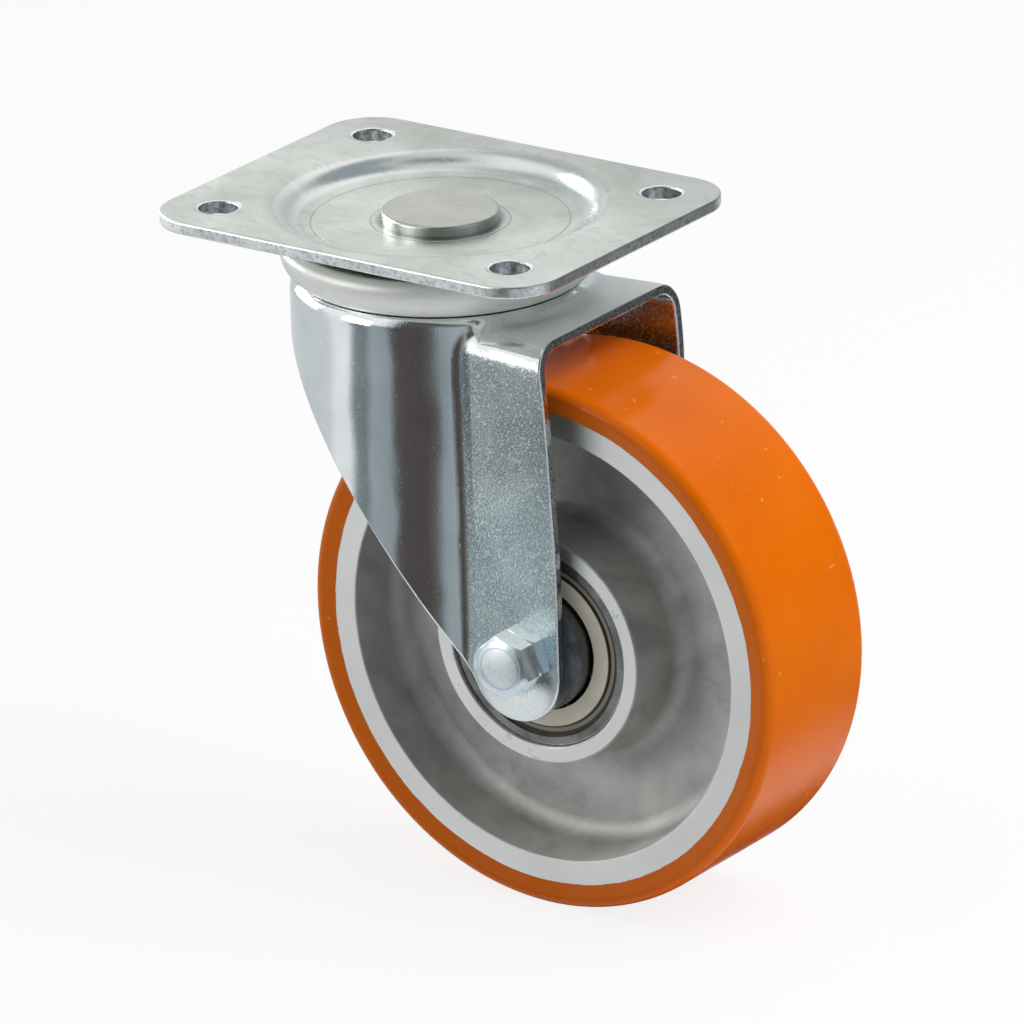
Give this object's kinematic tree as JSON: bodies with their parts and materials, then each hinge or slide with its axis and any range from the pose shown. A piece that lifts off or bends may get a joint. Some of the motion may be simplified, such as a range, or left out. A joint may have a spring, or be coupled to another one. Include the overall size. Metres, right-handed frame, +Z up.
{
  "type": "swivel castor",
  "caption": "Swivel castor with a bolt-on top plate, a pressed sheet fork on ball races, and an orange polyurethane wheel on a cast core with sealed ball bearings.",
  "frame": {"origin": "centre of the mounting plate's bolt pattern on the swivel axis, in the plane of the plate's top face", "axes": "+Z up along the swivel axis, +X the way the wheel trails, +Y along the axle away from the bolt's head"},
  "size_m": [0.1535, 0.086, 0.1565],
  "materials": {
    "zinc_plate": "satin zinc plating, lightly scuffed",
    "zinc_fork": "bright zinc plating with fine speckle",
    "zinc_fastener": "bright zinc plating",
    "kingpin_steel": "satin zinc plating, turned top",
    "bearing_steel": "polished bearing steel",
    "bush_steel": "dark oiled steel",
    "cast_aluminium": "as cast, turned at rim and hub",
    "orange_polyurethane": "glossy cast polyurethane",
    "seal_cream": "matt",
    "cage_plastic": "matt",
    "insert_nylon": "matt"
  },
  "bodies": {
    "plate": {"top_plate": "zinc_plate", "swivel_cup": "zinc_plate", "kingpin": "kingpin_steel", "lower_race": "zinc_fork"},
    "fork": {"fork": "zinc_fork", "axle_bolt": "zinc_fastener", "axle_thin_nut": "zinc_fastener", "axle_lock_nut": "zinc_fastener", "lock_nut_insert": "insert_nylon", "axle_bush_bolt_side": "bush_steel", "axle_bush_nut_side": "bush_steel", "bearing_spacer_tube": "bush_steel", "bearing_inner_ring_bolt_side": "bearing_steel", "bearing_inner_ring_nut_side": "bearing_steel"},
    "wheel": {"wheel_tread": "orange_polyurethane", "wheel_core": "cast_aluminium", "bearing_outer_ring_bolt_side": "bearing_steel", "bearing_outer_ring_nut_side": "bearing_steel", "bearing_outer_seal_bolt_side": "seal_cream", "bearing_outer_seal_nut_side": "seal_cream", "bearing_inner_seal_bolt_side": "seal_cream", "bearing_inner_seal_nut_side": "seal_cream"},
    "upper_balls": {"upper_swivel_balls": "bearing_steel"},
    "lower_balls": {"lower_swivel_balls": "bearing_steel"},
    "ball_set_bolt_side": {"bearing_balls_bolt_side": "bearing_steel", "bearing_cage_bolt_side": "cage_plastic"},
    "ball_set_nut_side": {"bearing_balls_nut_side": "bearing_steel", "bearing_cage_nut_side": "cage_plastic"}
  },
  "joints": [
    {"name": "swivel", "type": "hinge", "parent": "plate", "child": "fork", "pos_m": [0, 0, 0], "axis": [0, 0, 1], "continuous": true},
    {"name": "wheel_spin", "type": "hinge", "parent": "fork", "child": "wheel", "pos_m": [0.038, 0, -0.094], "axis": [0, 1, 0], "continuous": true},
    {"name": "upper_row", "type": "hinge", "parent": "plate", "child": "upper_balls", "pos_m": [0, 0, 0], "axis": [0, 0, 1], "continuous": true},
    {"name": "lower_row", "type": "hinge", "parent": "plate", "child": "lower_balls", "pos_m": [0, 0, 0], "axis": [0, 0, 1], "continuous": true},
    {"name": "bearing_roll_bolt_side", "type": "hinge", "parent": "fork", "child": "ball_set_bolt_side", "pos_m": [0.038, 0, -0.094], "axis": [0, 1, 0], "continuous": true},
    {"name": "bearing_roll_nut_side", "type": "hinge", "parent": "fork", "child": "ball_set_nut_side", "pos_m": [0.038, 0, -0.094], "axis": [0, 1, 0], "continuous": true}
  ],
  "couplings": [
    {"joint": "upper_row", "follows": "swivel", "ratio": 0.5},
    {"joint": "lower_row", "follows": "swivel", "ratio": 0.5},
    {"joint": "bearing_roll_bolt_side", "follows": "wheel_spin", "ratio": 0.6185},
    {"joint": "bearing_roll_nut_side", "follows": "wheel_spin", "ratio": 0.6185}
  ]
}
